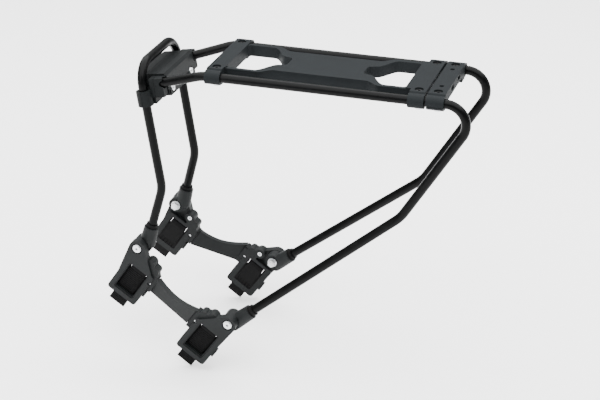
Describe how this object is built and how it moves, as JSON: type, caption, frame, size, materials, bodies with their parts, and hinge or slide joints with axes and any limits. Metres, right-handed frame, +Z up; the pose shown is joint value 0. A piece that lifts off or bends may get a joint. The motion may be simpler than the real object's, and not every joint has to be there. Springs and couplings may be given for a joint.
{
  "type": "bicycle rear rack",
  "caption": "Bicycle rear luggage carrier: bent tube frame with moulded deck, front hoop with slide block, and strap mounts for the seat stays.",
  "frame": {"origin": "on the middle plane, midway between the front and rear pivot bolts of the strap mounts on the seat stays", "axes": "+X to the rear of the bicycle, +Y to its right side, +Z up"},
  "size_m": [0.4069, 0.1794, 0.349],
  "materials": {
    "black_paint": "satin black powder coat with soft highlights",
    "deck_plastic": "moulded dark grey nylon, fine matte texture",
    "mount_plastic": "moulded near-black glass-filled nylon, matte",
    "block_plastic": "moulded near-black glass-filled nylon, matte",
    "black_rubber": "matte black rubber",
    "stainless": "bright stainless steel",
    "black_steel": "black oxide steel, slightly glossy"
  },
  "bodies": {
    "stay_mounts": {"front_housing_left": "mount_plastic", "front_housing_right": "mount_plastic", "rear_housing_left": "mount_plastic", "rear_housing_right": "mount_plastic", "front_cradle_left": "black_rubber", "front_cradle_right": "black_rubber", "rear_cradle_left": "black_rubber", "rear_cradle_right": "black_rubber", "bridge_arm_left": "mount_plastic", "bridge_arm_right": "mount_plastic", "arm_pins": "stainless", "tension_screws": "stainless", "pivot_bolts": "stainless", "pivot_washers": "stainless", "pivot_nuts": "stainless"},
    "front_strap_left": {"front_strap_left": "black_rubber"},
    "front_strap_right": {"front_strap_right": "black_rubber"},
    "rear_strap_left": {"rear_strap_left": "black_rubber"},
    "rear_strap_right": {"rear_strap_right": "black_rubber"},
    "hoop": {"hoop_tube": "black_paint", "front_socket_left": "mount_plastic", "front_socket_right": "mount_plastic", "front_sleeves": "black_rubber"},
    "slide_block": {"block_front_cap": "block_plastic", "block_core": "block_plastic", "block_rear_cover": "block_plastic", "clamp_bolts": "stainless", "clamp_nuts": "stainless"},
    "carrier": {"side_tube": "black_paint", "rear_socket_left": "mount_plastic", "rear_socket_right": "mount_plastic", "rear_sleeves": "black_rubber", "deck": "deck_plastic", "rail_grips_front": "deck_plastic", "rail_grips_rear": "deck_plastic", "deck_screws": "black_steel", "deck_nuts": "stainless", "tail_bar": "deck_plastic", "tail_grips": "deck_plastic", "tail_screws": "black_steel", "tail_nuts": "stainless"}
  },
  "joints": [
    {"name": "carrier_tilt", "type": "hinge", "parent": "stay_mounts", "child": "carrier", "pos_m": [0.0565, 0, -0.034], "axis": [0, 1, 0], "range_deg": [-5, 1]},
    {"name": "hoop_tilt", "type": "hinge", "parent": "stay_mounts", "child": "hoop", "pos_m": [-0.0565, 0, 0.034], "axis": [0, 1, 0], "range_deg": [-7.5, 1.5]},
    {"name": "block_slide", "type": "slide", "parent": "hoop", "child": "slide_block", "axis": [-0.1439, 0, 0.9896], "range_m": [-0.0107, 0.0022]},
    {"name": "front_strap_left_feed", "type": "slide", "parent": "stay_mounts", "child": "front_strap_left", "axis": [-0.5592, 0, -0.829], "range_m": [0, 0.006]},
    {"name": "front_strap_right_feed", "type": "slide", "parent": "stay_mounts", "child": "front_strap_right", "axis": [-0.5592, 0, -0.829], "range_m": [0, 0.006]},
    {"name": "rear_strap_left_feed", "type": "slide", "parent": "stay_mounts", "child": "rear_strap_left", "axis": [-0.5807, 0, -0.8141], "range_m": [0, 0.006]},
    {"name": "rear_strap_right_feed", "type": "slide", "parent": "stay_mounts", "child": "rear_strap_right", "axis": [-0.5807, 0, -0.8141], "range_m": [0, 0.006]}
  ],
  "couplings": [
    {"joint": "hoop_tilt", "follows": "carrier_tilt", "ratio": 1.4925},
    {"joint": "block_slide", "follows": "carrier_tilt", "m_per_rad": 0.121}
  ]
}
